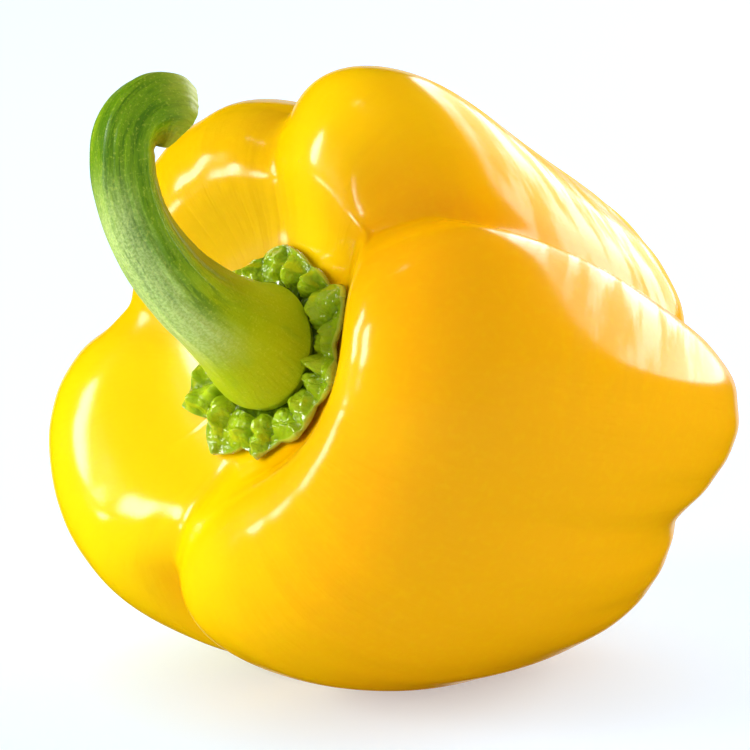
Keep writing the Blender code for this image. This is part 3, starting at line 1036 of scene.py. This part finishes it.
        marks = {
            "fold": np.concatenate([zeros, fold * np.sqrt(swell.clip(0.0, 1.0)), flat]),
            "reach": np.concatenate([zeros, share, share[picked], zeros[:1]]),
        }
        start = np.array([*self.centre, self.seat_height])
        end = np.array([*self.centre, self.seat_underside])
        piece = closed_piece("pepper_calyx", start, rings, end, self.fruit.lie, marks)
        dress(piece, self.finish.material(), "calyx")
        return piece


# The stem


@dataclass(frozen=True)
class Stem:
    """The stem: a swollen foot, a ridged bend and a flared cut end with a dish in it."""

    lie: Lie
    finish: StemFinish
    stations: tuple[tuple[float, float, float, float], ...] = (
        (1.8, 1.4, 28.85, 8.95), (2.3, 2.1, 31.8, 8.1), (3.1, 3.8, 37.4, 6.6), (3.15, 6.4, 45.5, 5.3),
        (2.3, 10.0, 51.8, 4.6), (1.1, 14.7, 56.3, 4.2), (0.2, 19.2, 58.7, 4.05), (-0.2, 22.8, 59.6, 4.0),
        (-0.3, 25.4, 59.7, 4.05), (-0.2, 27.8, 58.6, 4.2), (0.1, 29.3, 56.5, 4.5), (0.5, 29.5, 54.2, 4.65),
        (0.8, 29.0, 52.6, 4.3),
    )
    ridges: int = 5
    ridge_share: float = 0.045
    thread_height: float = 0.07
    wrinkle_height: float = 0.05
    wrinkle_length: float = 2.2
    lump_height: float = 0.08
    mean_radius: float = 5.0
    tuck: float = 0.10
    tuck_length: float = 2.2
    dish_depth: float = 0.9
    dish_rows: tuple[float, ...] = (0.93, 0.8, 0.6, 0.4, 0.2)
    sides: int = 200
    rings: int = 400
    coarse_rings: int = 34
    turn_window: int = 59
    hook_centre: Point = (0.0, 22.0, 48.0)

    def frames(self, line: Array) -> tuple[Array, Array, Array]:
        """Return the direction along a line and two across it, square to the seat first and never twisted.

        Args:
            line: Points along the stem's middle.

        Returns:
            Directions along, to one side and to the other, for each point.
        """
        along = unit(np.gradient(line, axis=0))
        half = self.turn_window // 2
        held = np.pad(along, ((half, half), (0, 0)), mode="edge")
        window = np.ones(self.turn_window)
        along = unit(np.stack([np.convolve(held[:, k], window, mode="valid") for k in range(3)], axis=1))
        reached = np.linspace(0.0, self.coarse_rings - 1.0, len(line))
        leaning = smooth_step(reached, 0.0, 6.0)[:, None]
        along = unit(np.array([0.0, 0.0, 1.0]) * (1 - leaning) + along * leaning)
        side = np.zeros_like(line)
        side[0] = (1.0, 0.0, 0.0)
        for row in range(1, len(line)):
            carried = side[row - 1] - np.dot(side[row - 1], along[row]) * along[row]
            side[row] = carried / np.linalg.norm(carried)
        return along, side, np.cross(along, side)

    def build(self) -> bpy.types.Object:
        """Make the stem's finer form: rings carried along its middle line.

        Radius = (station radius · (1 + ridges) + lengthwise threads + soft lumps + wrinkles across the
        inner bend) · a slight tuck at the foot.

        Returns:
            The dressed stem.
        """
        carried = through_stations(np.array(self.stations), self.rings)
        line, radius = carried[:, :3], carried[:, 3:]
        along, side, other = self.frames(line)
        turn = np.linspace(0.0, FULL_TURN, self.sides, endpoint=False)
        walked = np.cumsum(np.linalg.norm(np.diff(line, axis=0, prepend=line[:1]), axis=1))[:, None]
        share = walked / walked[-1]
        grown = smooth_step(np.linspace(0.0, self.coarse_rings - 1.0, self.rings), 2.0, 10.0)[:, None]
        spoke = np.cos(turn)[:, None] * side[:, None] + np.sin(turn)[:, None] * other[:, None]
        toward = np.array(self.hook_centre) - line
        toward -= np.sum(toward * along, axis=1, keepdims=True) * along
        lean = np.einsum("rsk,rk->rs", spoke, unit(toward))
        curving = np.gradient(along, axis=0) / np.gradient(walked[:, 0])[:, None]
        bend = np.clip(np.einsum("rsk,rk->rs", spoke, curving) * 9.0, 0.0, 1.0)
        bend = bend * smooth_step(share, 0.3, 0.55)
        round_place = cylinder(self.mean_radius, turn, walked)
        threads = soft_relief(round_place * np.array([1.0, 1.0, 0.06]), 1.3, 21) * grown
        lumps = soft_relief(round_place, 6.0, 22) * grown
        wrinkle = np.sin(FULL_TURN * walked / self.wrinkle_length + 2.0 * soft_relief(round_place, 4.0, 23))
        ring_radius = radius * (1 + self.ridge_share * grown * np.cos(self.ridges * turn))
        ring_radius = ring_radius + self.thread_height * threads + self.lump_height * lumps
        ring_radius = ring_radius + self.wrinkle_height * bend * wrinkle
        tucked = 1.0 - self.tuck * (1 - smooth_step(walked, 0.0, self.tuck_length))
        rings = line[:, None] + spoke * (ring_radius * tucked)[..., None]
        face = rings[-1] - line[-1]
        inward = np.array(self.dish_rows)[:, None, None]
        dish = line[-1] + face * inward - along[-1] * self.dish_depth * (1 - inward**2)
        rings = np.concatenate([rings, dish])
        middle = line[-1] - along[-1] * self.dish_depth
        extra = len(dish)
        tail = np.ones((extra, self.sides))
        marks = {
            "grown": np.concatenate([round_place, round_place[-1:] + np.zeros((extra, 1, 1))]),
            "height": np.concatenate([np.broadcast_to(share, bend.shape), tail]),
            "lean": np.concatenate([lean, lean[-1:] + 0 * tail]),
            "cut": np.concatenate([np.zeros_like(bend), tail]),
        }
        piece = closed_piece("pepper_stem", line[0], rings, middle, self.lie, marks)
        dress(piece, self.finish.material(), "stem")
        return piece


# The studio


class Shows(Enum):
    """Where a light shows: in the gloss, or in the skin's own colour."""

    GLOSS = "gloss"
    MATT = "matt"


@dataclass(frozen=True)
class Softbox:
    """One oval soft light, aimed at the pepper's middle."""

    name: str
    direction: Point
    distance: float
    size: tuple[float, float]
    power: float
    shows: Shows

    def build(self, aim: Vector) -> None:
        """Make the light.

        Args:
            aim: The point that it faces.
        """
        light = bpy.data.lights.new(self.name, "AREA")
        light.shape = "ELLIPSE"
        light.size, light.size_y = self.size
        light.energy = self.power
        lamp = bpy.data.objects.new(self.name, light)
        away = Vector(self.direction).normalized()
        lamp.location = aim + away * self.distance
        lamp.rotation_mode = "QUATERNION"
        lamp.rotation_quaternion = away.to_track_quat("Z", "Y")
        lamp.visible_glossy = self.shows is not Shows.MATT
        lamp.visible_diffuse = self.shows is not Shows.GLOSS
        lamp.visible_camera = False
        bpy.context.scene.collection.objects.link(lamp)


@dataclass(frozen=True)
class Studio:
    """A plain pale floor, soft lights and a camera at the photograph's angle."""

    floor_finish: FloorFinish
    floor_size: float = 8.0
    sky_strength: float = 0.79
    aim: Point = (0.0018, 0.0002, 0.0435)
    azimuth: float = -49.0
    elevation: float = 13.0
    distance: float = 0.52
    lens: float = 182.2
    softboxes: tuple[Softbox, ...] = (
        Softbox("left_window", (-0.671, 0.648, 0.360), 0.9, (0.21, 0.42), 3.8, Shows.GLOSS),
        Softbox("near_window", (-0.895, 0.335, 0.292), 0.9, (0.15, 0.32), 2.3, Shows.GLOSS),
        Softbox("front_light", (-0.814, 0.470, 0.342), 0.9, (0.35, 0.35), 3.1, Shows.MATT),
        Softbox("low_light", (-0.80, 0.60, -0.03), 0.5, (0.11, 0.05), 0.19, Shows.GLOSS),
        Softbox("top_light", (-0.30, 0.250, 0.920), 0.9, (0.08, 0.08), 0.07, Shows.GLOSS),
        Softbox("back_light", (0.964, -0.067, 0.26), 1.0, (1.36, 0.74), 12.0, Shows.GLOSS),
        Softbox("rim_light", (0.755, 0.656, -0.12), 0.8, (0.8, 0.6), 0.8, Shows.GLOSS),
        Softbox("left_light", (-0.70, 0.70, 0.06), 1.2, (1.4, 0.3), 8.0, Shows.MATT),
        Softbox("tail_light", (0.93, -0.30, 0.22), 1.2, (1.3, 0.7), 11.0, Shows.MATT),
    )

    def build_floor(self) -> None:
        """Make the floor."""
        half = self.floor_size / 2
        mesh = bpy.data.meshes.new("studio_floor")
        corners = [(-half, -half, 0.0), (half, -half, 0.0), (half, half, 0.0), (-half, half, 0.0)]
        mesh.from_pydata(corners, [], [(0, 1, 2, 3)])
        mesh.materials.append(self.floor_finish.material())
        floor = bpy.data.objects.new("studio_floor", mesh)
        bpy.context.scene.collection.objects.link(floor)
        floor.visible_glossy = False

    def build_sky(self) -> None:
        """Make the pale surroundings, which light the pepper softly and stay out of its gloss."""
        world = bpy.data.worlds.new("studio_sky")
        world.use_nodes = True
        background = world.node_tree.nodes["Background"]
        background.inputs["Color"].default_value = (1.0, 1.0, 1.0, 1.0)
        background.inputs["Strength"].default_value = self.sky_strength
        world.cycles_visibility.glossy = False
        bpy.context.scene.world = world

    def build_camera(self) -> None:
        """Make the camera and point it at the pepper."""
        lens = bpy.data.cameras.new("photo_camera")
        lens.sensor_fit = "HORIZONTAL"
        lens.sensor_width = 36.0
        lens.lens = self.lens
        camera = bpy.data.objects.new("photo_camera", lens)
        turn, lift = math.radians(self.azimuth), math.radians(self.elevation)
        back = Vector((math.sin(turn) * math.cos(lift), -math.cos(turn) * math.cos(lift), math.sin(lift)))
        camera.location = Vector(self.aim) + back * self.distance
        camera.rotation_mode = "QUATERNION"
        camera.rotation_quaternion = back.to_track_quat("Z", "Y")
        bpy.context.scene.collection.objects.link(camera)
        bpy.context.scene.camera = camera

    def build(self) -> None:
        """Make the floor, the surroundings, the lights and the camera."""
        self.build_floor()
        self.build_sky()
        for softbox in self.softboxes:
            softbox.build(Vector(self.aim))
        self.build_camera()
        view = bpy.context.scene.view_settings
        view.view_transform = "Standard"
        view.look = "None"


# All of it


def main() -> None:
    """Build the pepper and the studio."""
    logging.basicConfig(level=logging.INFO, format="%(name)s %(message)s")
    lie = Lie()
    fruit = Fruit(lie, SkinFinish())
    for part in (fruit, Calyx(fruit, CalyxFinish()), Stem(lie, StemFinish())):
        piece = part.build()
        log.info("%s: %d faces", piece.name, len(piece.data.polygons))
    Studio(FloorFinish()).build()


if __name__ == "__main__":
    main()
